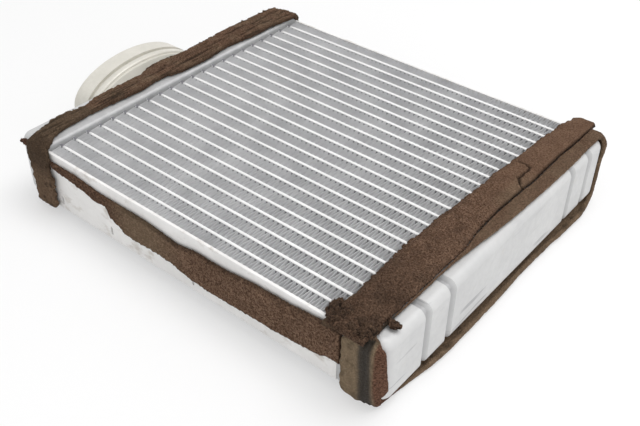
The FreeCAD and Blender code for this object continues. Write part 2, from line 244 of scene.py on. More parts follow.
def foam_material():
    """Fuzzy sealing foam. The shade attribute tints it: red towards olive film, green towards near-black for
    painted shade in creases, folds, tears and hollows and for darker foam, blue towards rust. The gloss
    attribute makes the film shine, and calm smooths the speckle."""
    dark, mid, light = (0.038, 0.019, 0.011), (0.128, 0.074, 0.046), (0.34, 0.215, 0.145)
    olive = (0.205, 0.152, 0.098)
    rust_dark, rust_light = (0.075, 0.030, 0.018), (0.27, 0.13, 0.085)
    # near-black, for painted shade in creases, folds, tears and hollows, and for darker foam
    shade_and_dark_tone = (0.010, 0.008, 0.006)
    plain_gloss, full_gloss = 0.08, 0.5
    mat, tree, bsdf = shader("foam_brown")
    calm, shade, gloss = (add(tree, "ShaderNodeAttribute", attribute_name=attribute)
                          for attribute in ("calm", "shade", "gloss"))
    split = add(tree, "ShaderNodeSeparateColor")
    tree.links.new(shade.outputs["Color"], split.inputs[0])
    as_olive, as_shade_and_dark_tone, as_rust = split.outputs

    flat = place(tree)
    fine = speckle(tree, flat, 1500, 2.5, 0.7, 0.36, 0.64)
    clumps = speckle(tree, flat, 570, 3, 0.6, 0.34, 0.66)
    patches = speckle(tree, flat, 140, 3, 0.55, 0.3, 0.7)
    rough_tone = blend(tree, fine, dark, light)
    rough_tone = blend(tree, compute(tree, "MULTIPLY", clumps, 0.5), rough_tone, mid)
    soft_tone = blend(tree, compute(tree, "MULTIPLY", fine, 0.45), mid, light)
    tone = blend(tree, calm.outputs["Fac"], rough_tone, soft_tone)
    tone = blend(tree, compute(tree, "MULTIPLY", patches, 0.35), tone, dark)
    film_and_groove_shade = blend(tree, compute(tree, "MULTIPLY", fine, 0.55), olive, tuple(c * 1.7 for c in olive))
    film_and_groove_shade = blend(tree, compute(tree, "MULTIPLY", clumps, 0.4), film_and_groove_shade, tuple(c * 0.6 for c in olive))
    tone = blend(tree, as_olive, tone, film_and_groove_shade)
    tone = blend(tree, as_rust, tone, blend(tree, fine, rust_dark, rust_light))
    tone = blend(tree, as_shade_and_dark_tone, tone, shade_and_dark_tone)
    tree.links.new(tone, bsdf.inputs["Base Color"])

    tree.links.new(spread(tree, gloss.outputs["Fac"], 0, 1, 0.95, 0.22), bsdf.inputs["Roughness"])
    # the socket keeps the plain foam's gloss, for an export that drops the link
    bsdf.inputs["Specular IOR Level"].default_value = plain_gloss
    tree.links.new(spread(tree, gloss.outputs["Fac"], 0, 1, plain_gloss, full_gloss),
                   bsdf.inputs["Specular IOR Level"])
    bump(tree, bsdf, compute(tree, "ADD", fine, clumps), 0.00035)
    return mat


def fibre_material():
    mat, tree, bsdf = shader("fibre_brown")
    mix = speckle(tree, place(tree), 700, 2, 0.6, 0.35, 0.65)
    tree.links.new(blend(tree, mix, (0.045, 0.023, 0.014), (0.18, 0.11, 0.075)), bsdf.inputs["Base Color"])
    bsdf.inputs["Roughness"].default_value = 0.9
    return mat


FIN = metal("fin_grey", (0.77, 0.77, 0.775), (0.58, 0.58, 0.59), 0.0, (0.4, 0.6), 70, 1500)[0]
PORT = metal("port_beige", (0.74, 0.715, 0.65), (0.60, 0.58, 0.52), 0.2, (0.35, 0.6), 60, 600)[0]
HEADER = metal("header_dull", (0.56, 0.56, 0.56), (0.42, 0.42, 0.425), 0.1, (0.45, 0.65), 160, 700)[0]
BROWN = foam_material()
FIBRE = fibre_material()

# The material of each solid, by how its name starts
DRESS = (("tube_", tube_metal()), ("fin_", FIN), ("side_plate", plate_metal()), ("foam", BROWN),
         ("port", PORT), ("header", HEADER), ("tank_front", tank_metal("tank_grooved", GROOVES)),
         ("", tank_metal("tank_plain", ())))
for node_name in nodes:
    mesh = nodes[node_name].data
    mesh.materials.clear()
    mesh.materials.append(next(mat for start, mat in DRESS if node_name.startswith(start)))


# Numbers and outlines
def ramp(a, b, x):
    """From 0 at a to 1 at b, with soft ends."""
    t = max(0, min(1, (x - a) / (b - a)))
    return t * t * (3 - 2 * t)


def table(points):
    """A reading of measured pairs, straight from each to the next."""
    xs = np.array([p[0] for p in points], float)
    ys = np.array([p[1] for p in points], float)
    order = np.argsort(xs)
    return lambda x: float(np.interp(x, xs[order], ys[order]))


def fractal(p, size, seed=0.0, octaves=3):
    """Lumpy noise about 0, with lumps of a size in millimetres."""
    spot = Vector((p[0] / size + seed, p[1] / size - seed, p[2] / size + seed * 0.5))
    return noise.fractal(spot, 0.6, 2.0, octaves)


def distance_to(line, x, y):
    best = 1e9
    for (ax, ay), (bx, by) in zip(line, line[1:]):
        dx, dy = bx - ax, by - ay
        t = max(0, min(1, ((x - ax) * dx + (y - ay) * dy) / (dx * dx + dy * dy)))
        best = min(best, math.hypot(x - ax - t * dx, y - ay - t * dy))
    return best


def fullness(t, length, rim):
    """How much of its thickness a strip has at a share t of its length, if its edges are rounded by rim."""
    return math.sqrt(max(0.0, 1 - (1 - min(1, min(t, 1 - t) * length / rim)) ** 2))


def flat_loop(x0, x1, low, high, cols, rim):
    """A closed loop across a strip from x0 to x1. low and high give its under and upper side at a place, and
    rim is how far the edges are rounded."""
    shares = [k / (cols // 2 - 1) for k in range(cols // 2)]
    loop = []
    for side, ts in ((high, shares), (low, [1 - t for t in shares])):
        for t in ts:
            x = x0 + (x1 - x0) * t
            middle = (low(x) + high(x)) / 2
            loop.append((x, middle + (side(x) - middle) * max(0.25, fullness(t, abs(x1 - x0), rim))))
    return loop


# Meshes
def build(name, verts, faces, mat, smooth=True):
    mesh = bpy.data.meshes.new(name)
    mesh.from_pydata(verts, [], faces)
    mesh.update()
    mesh.materials.append(mat)
    obj = bpy.data.objects.new(name, mesh)
    bpy.context.scene.collection.objects.link(obj)
    if smooth:
        mesh.polygons.foreach_set("use_smooth", [True] * len(mesh.polygons))
    return obj


def face_outwards(obj):
    bm = bmesh.new()
    bm.from_mesh(obj.data)
    bmesh.ops.recalc_face_normals(bm, faces=bm.faces)
    bm.to_mesh(obj.data)
    bm.free()


def ride(obj, *replaced):
    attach(obj, "root")
    if replaced:
        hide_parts(*replaced)
    return obj


SKIN_LOWEST = 0.02      # a skin stays this far above the floor


def skin(name, rows, ring, lumps, look):
    """A closed foam skin through rows of points, in millimetres. Each row is a closed loop; ring joins the
    last row to the first, and otherwise both ends are capped. lumps gives how far a point moves outwards,
    and look gives its shade (three numbers), gloss and calm."""
    count = len(rows[0])
    points = [p for row in rows for p in row]
    faces = []
    last = len(rows) if ring else len(rows) - 1
    for i in range(last):
        a = i * count
        b = ((i + 1) % len(rows)) * count
        for j in range(count):
            k = (j + 1) % count
            faces.append((a + j, a + k, b + k, b + j))
    if not ring:
        for row in (0, len(rows) - 1):
            points.append(tuple(sum((Vector(p) for p in rows[row]), Vector()) / count))
            hub = len(points) - 1
            for j in range(count):
                faces.append((row * count + j, row * count + (j + 1) % count, hub))
    obj = build(name, [Vector(p) * MM for p in points], faces, BROWN)
    face_outwards(obj)
    mesh = obj.data
    normals = np.zeros(len(mesh.vertices) * 3)
    mesh.vertices.foreach_get("normal", normals)
    normals = normals.reshape(-1, 3)
    moved = np.array(points, float)
    for i, p in enumerate(points):
        moved[i] += normals[i] * lumps(Vector(p), Vector(normals[i]))
    moved[:, 2] = np.maximum(moved[:, 2], SKIN_LOWEST)
    mesh.vertices.foreach_set("co", (moved * MM).ravel())
    mesh.update()

    looks = np.array([look(Vector(p), Vector(n)) for p, n in zip(points, normals)])
    colours = np.ones((len(points), 4))
    colours[:, :3] = np.clip(looks[:, :3], 0, 1)
    # all the attributes are made before any is filled, because a new one may move the others
    for attribute, kind in (("shade", "FLOAT_COLOR"), ("gloss", "FLOAT"), ("calm", "FLOAT")):
        mesh.attributes.new(attribute, kind, "POINT")
    mesh.attributes["shade"].data.foreach_set("color", colours.ravel())
    mesh.attributes["gloss"].data.foreach_set("value", looks[:, 3].copy())
    mesh.attributes["calm"].data.foreach_set("value", looks[:, 4].copy())
    return obj


# Fibres, in millimetres
FIBRE_RADIUS = 0.045
FIBRE_ROOT = 0.12       # how deep a fibre starts
FIBRE_LOWEST = 0.1      # no fibre comes nearer to the floor
FIBRE_RISE = 0.15       # the least that a fibre points away from its skin, as a cosine
FIBRE_TRIES = 30        # how often a place is tried for each fibre


def fuzz(name, source, count, shortest, longest, lean, seed, keep=None):
    """Short fibres that stand out of a skin, as thin closed spikes. keep gives the share of them that a place
    has, and lean how far they stray from its normal."""
    rnd = random.Random(seed)
    mesh = source.data
    mesh.calc_loop_triangles()
    tris = list(mesh.loop_triangles)
    areas = np.cumsum([t.area for t in tris])
    verts = []
    faces = []
    made = 0
    tries = 0
    while made < count and tries < count * FIBRE_TRIES:
        tries += 1
        t = tris[int(np.searchsorted(areas, rnd.random() * areas[-1]))]
        a, b, c = (mesh.vertices[i].co for i in t.vertices)
        u, v = rnd.random(), rnd.random()
        if u + v > 1:
            u, v = 1 - u, 1 - v
        p = a + (b - a) * u + (c - a) * v
        n = t.normal
        if keep is not None and rnd.random() > keep(p / MM, n):
            continue
        side = Vector((rnd.gauss(0, 1), rnd.gauss(0, 1), rnd.gauss(0, 1)))
        way = (n + side.normalized() * lean).normalized()
        if way.dot(n) < FIBRE_RISE:
            continue
        length = rnd.uniform(shortest, longest) * MM
        if p.z + min(0, way.z) * length < FIBRE_LOWEST * MM:
            continue
        e1 = way.orthogonal().normalized()
        e2 = way.cross(e1)
        wide = FIBRE_RADIUS * MM
        root = p - n * FIBRE_ROOT * MM
        i = len(verts)
        for k in range(3):
            turn = 2 * math.pi * k / 3
            verts.append(root + e1 * math.cos(turn) * wide + e2 * math.sin(turn) * wide)
        verts.append(root + way * length)
        faces += [(i, i + 2, i + 1), (i, i + 1, i + 3), (i + 1, i + 2, i + 3), (i + 2, i, i + 3)]
        made += 1
    return build(name, verts, faces, FIBRE)


# Fins, in millimetres
FINS = 23
LEGS = 125
END_LEGS = 2.4          # the visual fin runs on by this at each end, to close the gap before the header
CREST = 0.4             # half a crest's length
CREST_GAP = 0.012       # between a crest and its tube, so that they don't share a face
FIN_SHEET = 0.12
RIM = 0.75              # half the height of a leg's plain rim, above and below
WEB = 3.0               # half the height of its plain middle
SLATS = 6               # in each of a leg's two groups
SLAT_PITCH = 1.5
SLAT_FIRST = 2.25       # from the core's face to the first slat's middle
SLAT_WIDE = 0.36        # half a slat's width, as a share of the leg
SLAT_THICK = 0.045      # half its thickness
SLAT_HIGH = 0.55        # half its height
SLAT_TILT = 27          # degrees
HEX = ((0, 3, 2, 1), (4, 5, 6, 7), (0, 1, 5, 4), (1, 2, 6, 5), (2, 3, 7, 6), (3, 0, 4, 7))


def hexes(name, corners, mat):
    """Closed six-sided bodies from an array of eight corners each, in millimetres."""
    count = len(corners)
    verts = (np.asarray(corners, float).reshape(-1, 3) * MM).tolist()
    template = np.array(HEX)
    faces = (template[None] + 8 * np.arange(count)[:, None, None]).reshape(-1, 4).tolist()
    return build(name, verts, faces, mat, smooth=False)


def louvred_fin(index, y0, y1, x0, x1):
    """One folded strip: crests against the tubes, and legs with turned slats between their plain rims."""
    rnd = random.Random(100 + index)
    pitch = (x1 - x0 - 2 * CREST) / LEGS
    mid = (y0 + y1) / 2
    h = (y1 - y0) / 2
    xs = [x0 + CREST + k * pitch + rnd.gauss(0, 0.04) for k in range(LEGS + 1)]
    corners = []

    def box(centre, u, v, w):
        """A body from its middle and half of each of its three sides."""
        for sw in (-1, 1):
            for su, sv in ((-1, -1), (1, -1), (1, 1), (-1, 1)):
                corners.append([c + su * a + sv * b + sw * d for c, a, b, d in zip(centre, u, v, w)])

    for k, x in enumerate(xs):
        side = 1 if k % 2 == 0 else -1
        box((x, mid + side * (h - FIN_SHEET / 2 - CREST_GAP), CORE_MIDDLE), (CREST + 0.02, 0, 0),
            (0, FIN_SHEET / 2, 0), (0, 0, (CORE_TOP - CORE_BOTTOM) / 2 - 0.02))
    plain = ((CORE_TOP - RIM, RIM), (CORE_MIDDLE, WEB), (CORE_BOTTOM + RIM, RIM))
    upper = [CORE_TOP - SLAT_FIRST - SLAT_PITCH * i for i in range(SLATS)]
    lower = [CORE_BOTTOM + SLAT_FIRST + SLAT_PITCH * i for i in range(SLATS)]
    for k in range(LEGS):
        side = 1 if k % 2 == 0 else -1
        ax, ay = xs[k] + CREST - 0.05, mid + side * (h - FIN_SHEET)
        bx, by = xs[k + 1] - CREST + 0.05, mid - side * (h - FIN_SHEET)
        length = math.hypot(bx - ax, by - ay)
        ux, uy = (bx - ax) / length, (by - ay) / length
        nx, ny = -uy, ux
        cx, cy = (ax + bx) / 2, (ay + by) / 2
        for cz, half in plain:
            box((cx, cy, cz), (length / 2 * ux, length / 2 * uy, 0),
                (FIN_SHEET / 2 * nx, FIN_SHEET / 2 * ny, 0), (0, 0, half - 0.01))
        wide = length * SLAT_WIDE
        for group, levels in ((1, upper), (-1, lower)):
            tilt = math.radians(SLAT_TILT + rnd.gauss(0, 3)) * group
            c, s = math.cos(tilt), math.sin(tilt)
            across = (wide * ux, wide * uy, 0)
            through = (SLAT_THICK * (nx * c), SLAT_THICK * (ny * c), SLAT_THICK * -s)
            along = (SLAT_HIGH * (nx * s), SLAT_HIGH * (ny * s), SLAT_HIGH * c)
            for cz in levels:
                box((cx, cy, cz), across, through, along)
    return hexes("louvred_fin_%02d" % index, np.reshape(corners, (-1, 8, 3)), FIN)


for number in range(1, FINS + 1):
    name = "fin_%02d" % number
    lo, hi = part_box(name)
    ride(louvred_fin(number, lo.y / MM, hi.y / MM, lo.x / MM - END_LEGS, hi.x / MM + END_LEGS), name)


# Foam on top of the front header. In the tables here and below, the first number is a place across the core
# and the second is millimetres past the core's end, both measured in the photo.
STRIP_INNER = table([(-82, -4.2), (-77, -4.2), (-73.5, -5.0), (-68, -3.2), (-61, -3.6), (-54, -3.8),
                     (-48, -4.3), (-41, -5.1), (-34, -5.3), (-28, -5.1), (-21, -4.6), (-14, -4.6),
                     (-7, -4.2), (0, -3.6), (8, -3.2), (16, -3.0), (26, -2.9), (33, -1.6), (40, -0.9),
                     (48, -0.8), (60, 0.0), (73, 1.0), (83, 3.0)])
STRIP_CREASE = table([(-81, 12.9), (-60, 12.9), (-34, 13.0), (-22, 12.8), (-14, 11.6), (3, 10.9), (20, 11.4),
                      (29, 12.0), (38, 11.8), (51, 11.6), (67, 12.3), (79, 12.7)])
STRIP_END = 81.9
# The tear in the strip and a ridge beside it, as lines of (past the core's end, across)
TEAR = [(0.9, 34.7), (4.6, 34.8), (7.3, 34.0), (7.6, 31.5), (7.1, 24.5), (9.7, 21.7), (12.2, 19.5)]
RIDGE = [(-1.5, 9.0), (1.8, 14.9), (5.3, 17.9), (6.9, 22.0)]


def from_tear(p):
    """Distance to the tear, which frays."""
    return distance_to(TEAR, p.x - FRONT + 0.5 * fractal(p, 2.0, 4.0, 2), p.y + 0.7 * fractal(p, 2.0, 9.0, 2))


def strip_rows():
    rows = []
    y = -STRIP_END
    while y <= STRIP_END:
        x0 = STRIP_INNER(y) + 0.55 * fractal((y, 0, 0), 2.2, 3.0) + 0.25 * fractal((y, 7, 0), 0.8, 3.0, 2)
        x1 = STRIP_CREASE(y) - 0.1 + 0.15 * fractal((y, 5, 0), 1.5, 1.0, 2)
        torn = 1 - ramp(-20, 30, y)
        droop = 1.5 * ramp(-78.5, -STRIP_END, y)
        close = max(0.5, ramp(82.4, 80.9, y))

        def low(x):
            over = max(0, -0.8 - x)
            return TOP + 0.08 - min(1.3, over * 0.42) - droop

        def high(x):
            t = (x - x0) / (x1 - x0)
            puff = (0.15 + 0.30 * torn) * fractal((x, y, 1), 9, 8.0, 2)
            tail = 0.9 * max(0, (t - 0.9) / 0.1) ** 2
            thick = 1.35 + min(0.9, (x - x0) * 0.30) + 0.25 * math.sin(math.pi * t) + puff
            return low(x) + thick * close - tail

        rows.append([(FRONT + x, y, z) for x, z in flat_loop(x0, x1, low, high, 72, 0.7)])
        y += 0.5
    return rows


def strip_lumps(p, n):
    x = p.x - FRONT
    torn = 1 - ramp(-15, 45, p.y)
    edge = max(0, 1 - (x - STRIP_INNER(p.y)) / 1.5)
    amount = (0.06 + 0.34 * torn) * fractal(p, 1.0, 0, 3) + (0.10 + 0.16 * torn) * fractal(p, 3.2, 5.0, 2)
    amount += 0.45 * edge * fractal((p.x, p.y, 0), 1.2, 2.0, 3)
    if n.z > 0.3:
        d = from_tear(p)
        amount -= 1.1 * max(0, 1 - d / 0.65)
        amount += 0.30 * max(0, 1 - abs(d - 1.2) / 0.8)
        amount += 0.30 * max(0, 1 - distance_to(RIDGE, x, p.y) / 1.2)
    if n.z < -0.5:
        amount = min(0, amount) * 0.3
    return amount


def strip_look(p, n):
    x = p.x - FRONT
    far = ramp(-8, 26, p.y)
    inside = x - STRIP_INNER(p.y)
    # painted shade in the tear and in the crease before the band
    dark = max(0, 1 - from_tear(p) / 0.7) * (1 if n.z > 0 else 0)
    dark = max(dark, 0.95 * max(0, 1 - (STRIP_CREASE(p.y) - x) / 0.7) * ramp(-22, -6, p.y))
    dark = max(dark, 0.30 * max(0, 1 - inside / 0.7))
    dark = max(dark, 0.34 * ramp(-25, -62, p.y) + 0.35 * (1 - far) * max(0, fractal(p, 6, 3.0, 2)))
    olive = 0.35 * ramp(0, 12, p.y) * ramp(34, 20, p.y) * ramp(5, 9, x)
    olive = max(olive, 0.5 * ramp(2.2, 0.6, inside) * ramp(-50, -68, p.y))
    return olive, dark, 0.06, 0.0, 0.10 + 0.75 * far


def strip_fibres(p, n):
    return (0.06 + 0.94 * (1 - ramp(-25, 40, p.y))) * (1 if n.z > -0.2 else 0)


front_strip = skin("foam_front_strip_soft", strip_rows(), False, strip_lumps, strip_look)
ride(front_strip, "foam_front_strip")
ride(fuzz("foam_front_strip_fibres", front_strip, 11000, 0.3, 0.9, 1.1, 7, strip_fibres))


# Foam bands round the ends
FOAM = 1.95             # their thickness, in millimetres


def ring_path(step):
    """Stations round a band's outer outline, as a place and its outward direction."""
    r = CORNER
    across = FOAM_SIDE - r
    low, high = r, FOAM_TOP - r
    stations = []

    def run(a, b, direction):
        count = max(2, int(math.dist(a, b) / step))
        for k in range(count):
            t = k / count
            stations.append(((a[0] + (b[0] - a[0]) * t, a[1] + (b[1] - a[1]) * t), direction))

    def turn(cy, cz, start):
        count = int(r * math.pi / 2 / step)
        for k in range(count):
            angle = math.radians(start - 90 * k / count)
            c, s = math.cos(angle), math.sin(angle)
            stations.append(((cy + r * c, cz + r * s), (c, s)))

    run((-across, FOAM_TOP), (across, FOAM_TOP), (0, 1))
    turn(across, high, 90)
    run((FOAM_SIDE, high), (FOAM_SIDE, low), (1, 0))
    turn(across, low, 0)
    run((across, 0), (-across, 0), (0, -1))
    turn(-across, low, -90)
    run((-FOAM_SIDE, low), (-FOAM_SIDE, high), (-1, 0))
    turn(-across, high, 180)
    return stations


def sides_of(ny, nz):
    """How far a direction faces the top, the near side, the far side and the bottom."""
    return max(0, nz) ** 2, max(0, -ny) ** 2, max(0, ny) ** 2, max(0, -nz) ** 2


def wrap(s, reach, radius):
    """Distance past the core's end, depth below the outer side and angle, after s along a band that turns in
    over a rounded end."""
    straight = reach - radius
    if s <= straight:
        return s, 0.0, 0.0
    angle = min((s - straight) / radius, math.pi / 2)
    rest = s - straight - angle * radius
    return straight + radius * math.sin(angle), radius * (1 - math.cos(angle)) + max(0, rest), angle


def band_rows(base_x, sign, edges, shape, step, cols):
    """Rows round an end. edges gives where the band starts and stops, and shape its reach and radius."""
    rows = []
    half = cols // 2
    for (y, z), (ny, nz) in ring_path(step):
        a, b = edges(y, z, ny, nz)
        reach, radius = shape(y, z, ny, nz)
        loop = []
        for k in range(cols):
            outer = k < half
            t = k / (half - 1) if outer else 1 - (k - half) / (half - 1)
            s = a + (b - a) * t
            full = max(0.3, fullness(t, b - a, 0.7))
            d, sink, angle = wrap(s, reach, radius)
            sink += 1.0 * max(0, nz) * ramp(8.0, 11.5, d)
            depth = FOAM / 2 * (1 - full * (1 if outer else -1))
            loop.append((base_x + sign * (d - depth * math.sin(angle)),
                         y - ny * (sink + depth * math.cos(angle)),
                         z - nz * (sink + depth * math.cos(angle))))
        rows.append(loop)
    return rows


def share(value):
    return max(0, min(1, value))


# The front band: where the silver tank shows past it on top, and its lower edge
SILVER_TOP = table([(-80, 13.5), (-34, 13.7), (-23, 14.4), (-16, 15.1), (-5, 16.4), (3, 17.1), (17, 17.8),
                    (35, 18.4), (50, 18.6), (66, 18.2), (80, 18.4)])
LIP = table([(-77, 18.3), (-67, 19.5), (-61, 20.5), (-54, 21.2), (-45, 22.1), (-39, 22.4), (-15, 22.4),
             (-2, 22.2), (12, 21.7), (24, 21.8), (37, 22.2), (44, 22.8), (62, 23.2), (70, 22.2), (76, 21.0),
             (82, 20.6)])
# How far it turns in over the tank, by side
RADIUS_TOP, RADIUS_NEAR, RADIUS_FAR, RADIUS_LIP = 5.5, 7.5, 5.5, 4.2


def front_shape(y, z, ny, nz):
    top, near, far, bottom = sides_of(ny, nz)
    reach = top * 21 + near * (17.9 + 2.2 * ramp(2, 15, z)) + far * (20.2 + 0.8 * ramp(18, 28, z))
    reach += bottom * LIP(y)
    return reach, top * RADIUS_TOP + near * RADIUS_NEAR + far * RADIUS_FAR + bottom * RADIUS_LIP


def front_edges(y, z, ny, nz):
    top, near, far, bottom = sides_of(ny, nz)
    start = top * (STRIP_CREASE(y) + 0.12) + near * (3.2 + 3.0 * ramp(7, 0, z)) + far * 0.9
    start += bottom * (0.9 + 5.3 * ramp(-66, -76, y))
    start += (0.12 + 0.4 * near) * fractal((y, z, 0), 2.0, 1.0, 3)
    stop_near = 20.4 - RADIUS_NEAR + RADIUS_NEAR * (1.42 - 0.40 * ramp(3, 32, z))
    stop_far = 21.0 - RADIUS_FAR + RADIUS_FAR * 1.25
    stop_bottom = LIP(y) - RADIUS_LIP + RADIUS_LIP * (0.75 + 0.36 * ramp(-62, -46, y))
    stop = top * SILVER_TOP(y) + near * stop_near + far * stop_far + bottom * stop_bottom
    stop += 0.18 * fractal((y, z, 9), 2.2, 4.0, 3)
    return start, stop


def fold_at(z):
    """Where the upright fold in the near end lies."""
    return 13.0 + 0.35 * math.sin(z / 6)


def front_lumps(p, n):
    x = p.x - FRONT
    amount = 0.10 * fractal(p, 1.2, 2.0, 3) + 0.12 * fractal(p, 6.0, 7.0, 2)
    if p.y < -68 and abs(n.z) < 0.8:
        fold = fold_at(p.z)
        inside = math.exp(-((x - fold) / 2.3) ** 4)
        amount -= 0.75 * inside
        amount += 0.30 * inside * math.sin((x - fold) * 2.6 + 0.9 * math.sin(p.z / 4.5))
        amount += 0.35 * math.exp(-((x - fold - 3.2) / 0.9) ** 2)
        amount += 0.30 * math.exp(-((x - fold + 3.4) / 1.0) ** 2)
    amount += 0.7 * max(0, n.z) ** 2 * ramp(62, 74, p.y)
    if p.z < 1.0:
        amount = min(amount, 0.04)
    return amount


def front_look(p, n):
    x = p.x - FRONT
    olive, dark, rust, shine, calm = 0.7, 0.0, 0.08, 0.0, 0.5
    if p.y < -66 and abs(n.z) < 0.85:       # the near end, with its fold
        fold = fold_at(p.z)
        front = ramp(15.8, 16.8, x)
        olive = 0.95 * (1 - 0.8 * front)
        calm = 0.2
        shine = 0.55 * math.exp(-((x - fold) / 2.7) ** 6)
        rust = 0.75 * front
        # painted shade in the fold, among the other darkening
        dark = max(0.90 * math.exp(-((x - fold) / 2.5) ** 6), 0.30 * front,
                   0.30 * ramp(0.1, 0.7, fractal(p, 4, 3.0, 2)), 0.45 * ramp(3.5, 0.5, p.z),
                   0.65 * ramp(31.5, 33.5, p.z) * ramp(4, 9, x))
    elif n.z > 0.2 and p.z > 25:            # the edge on top
        # painted shade in the crease before the strip
        dark = max(0.25, 0.95 * max(0, 1 - (x - STRIP_CREASE(p.y)) / 0.7) * ramp(-22, -6, p.y))
        olive = 0.45 + 0.35 * fractal(p, 7, 6.0, 2)
        rust = 0.22
    elif p.z < 9 or p.y > 60:               # the lip below and the far end
        olive = 0.75
        rust = 0.12
        dark = 0.12 + 0.3 * ramp(0, 0.6, fractal(p, 4, 1.0, 2))
        # painted shade in the pockets where the lip bridges the grooves
        for centre in GROOVES:
            dark = max(dark, 0.75 * math.exp(-((p.y - centre) / 2.8) ** 2) * ramp(1.5, 3.5, p.z))
    return share(olive), share(dark), share(rust), shine, calm


front_band = skin("foam_front_band_soft", band_rows(FRONT, 1, front_edges, front_shape, 0.7, 56), True,
                  front_lumps, front_look)
ride(front_band, "foam_front_band")
ride(fuzz("foam_front_band_fibres", front_band, 3000, 0.2, 0.6, 0.9, 13,
          lambda p, n: 0 if p.z < 2 or (p.y < -66 and p.x - FRONT < 15) else 1))

# The rear band's two edges on top
REAR_INNER = table([(-76, -0.9), (-72, 2.0), (-65, 3.9), (-53, 4.6), (-40, 4.1), (-23, 2.8), (-15, 4.0),
                    (-8, 3.8), (0, 1.4), (15, 1.0), (32, 2.7), (45, 1.0), (60, 0.6), (72, -1.1), (80, -1.6)])
REAR_OUTER = table([(-79, 9.5), (-70, 12.3), (-60, 14.4), (-54, 12.4), (-48, 11.9), (-40, 14.6), (-34, 14.4),
                    (-24, 13.6), (-15, 13.9), (-7, 17.2), (1, 18.2), (9, 15.3), (30, 16.2), (47, 16.4),
                    (75, 15.3), (81, 13.0)])


def rear_shape(y, z, ny, nz):
    return 21.0, 6.5


def rear_edges(y, z, ny, nz):
    top, near, far, bottom = sides_of(ny, nz)
    start = top * REAR_INNER(y) + near * (-3.4 + 1.4 * fractal((z, 0, 0), 5, 2.0, 3)) + far * 0.6
    start += bottom * 3.0
    stop = top * REAR_OUTER(y) + near * (8.8 + 2.3 * ramp(22, 33, z)) + far * 14.0 + bottom * 14.5
    start += (0.35 + 0.5 * near) * fractal((y, z, 3), 1.6, 5.0, 3)
    stop += 0.95 * fractal((y, z, 7), 1.8, 8.0, 3)
    return start, stop


def ridges(p):
    """Noise drawn out across the core, for the long ridges of the torn foam."""
    return noise.fractal(Vector((p.x / 1.4, p.y / 24, p.z / 1.4)), 0.6, 2.0, 3)


def rear_lumps(p, n):
    amount = 0.14 * fractal(p, 1.1, 3.0, 3) + 0.60 * ridges(p) * (0.25 + 0.75 * max(0, n.z))
    amount += 0.18 * fractal(p, 5.0, 1.0, 2)
    if n.z > 0.3:
        amount += 0.25
    if p.z < 1.0:
        amount = min(amount, 0.03)
    return amount


def rear_look(p, n):
    # painted shade in the hollows between the ridges
    dark = max(0.12, 0.75 * ramp(0.08, -0.42, ridges(p)))
    if n.z > 0.1:
        dark = max(dark, 0.6 * ramp(1.2, 0.0, REAR - p.x - REAR_INNER(p.y)))
    olive = 0.15 + 0.5 * fractal(p, 9, 2.0, 2)
    if p.y < -50:
        olive = 0.6
        dark = max(dark, 0.42)
    if p.y < -76:
        olive = 0.45
        dark = max(0.15 + 0.45 * ramp(16, 27, p.z), 0.6 * ramp(0.1, 0.5, fractal(p, 3, 2.0, 2)))
    return share(olive), share(dark), 0.10, 0.0, 0.45


rear_band = skin("foam_rear_band_soft", band_rows(REAR, -1, rear_edges, rear_shape, 0.7, 48), True,
                 rear_lumps, rear_look)
ride(rear_band, "foam_rear_band")
ride(fuzz("foam_rear_band_fibres", rear_band, 5000, 0.3, 1.1, 1.1, 11,
          lambda p, n: 1.0 if (n.z > 0.2 or n.y < -0.3) and p.z > 2 else 0.1))


# Foam on the side plates. In these tables, the first number is millimetres from the plate's rear end and the
# second is a height.
NEAR_UPPER = table([(0, 28.0), (4, 27.8), (18, 27.9), (33, 26.2), (53, 26.4), (62, 26.1), (77, 24.2),
                    (86, 25.9), (102, 25.9), (114, 27.5), (132, 28.1), (143, 29.2), (152, 30.1), (156, 30.5)])
NEAR_LOWER = table([(0, 25.6), (4, 25.6), (8, 24.8), (13, 24.2), (25, 23.0), (30, 21.1), (37, 21.7),
                    (39, 17.7), (44, 15.3), (47, 13.2), (52, 12.6), (62, 13.4), (73, 12.9), (80, 11.1),
                    (92, 9.9), (109, 10.4), (125, 10.8), (137, 11.7), (146, 13.0), (152, 15.1)])
HEADER_STEP = 0.66      # how far the strip stands out over the header's flange
SIDE_THICK = 1.75


def side_rows(x0, x1, upper, lower, face, sign, step):
    rows = []
    x = x0
    while x <= x1:
        top = upper(x) + 0.30 * fractal((x, 0, 0), 1.5, 2.0, 3)
        bottom = lower(x) + 0.50 * fractal((x, 3, 0), 1.6, 4.0, 3)
        thick = SIDE_THICK * min(1, 0.35 + (x - x0) / 6)
        stand = 0.06 + HEADER_STEP * ramp(150.6, 151.8, x)
        loop = flat_loop(bottom, top, lambda z: stand, lambda z: stand + thick, 44, 0.8)
        rows.append([(REAR + x, face + sign * off, z) for z, off in loop])
        x += step
    return rows


def near_lumps(p, n):
    if n.y > 0.6:
        return 0
    left = ramp(106, 26, p.x - REAR)
    amount = 0.16 * fractal(p, 1.0, 6.0, 3) + 0.15 * fractal(p, 6, 3.0, 2)
    return amount + 0.2 * left * fractal(p, 2.0, 1.0, 2)


def near_look(p, n):
    x = p.x - REAR
    top_gap = NEAR_UPPER(x) - p.z
    bottom_gap = p.z - NEAR_LOWER(x)
    left = ramp(54, 36, x)
    rust = 0.22 * left + 0.30 * ramp(2.0, 0.2, bottom_gap) * left
    dark = max(0.50 * ramp(1.4, 0.1, top_gap) * (1 - left),
               0.5 * ramp(1.4, 0.0, bottom_gap) * ramp(36, 56, x), 0.35 * left)
    olive = 0.5 * ramp(31, 50, x) * ramp(86, 60, x)
    return olive, dark, rust, 0.0, 0.10


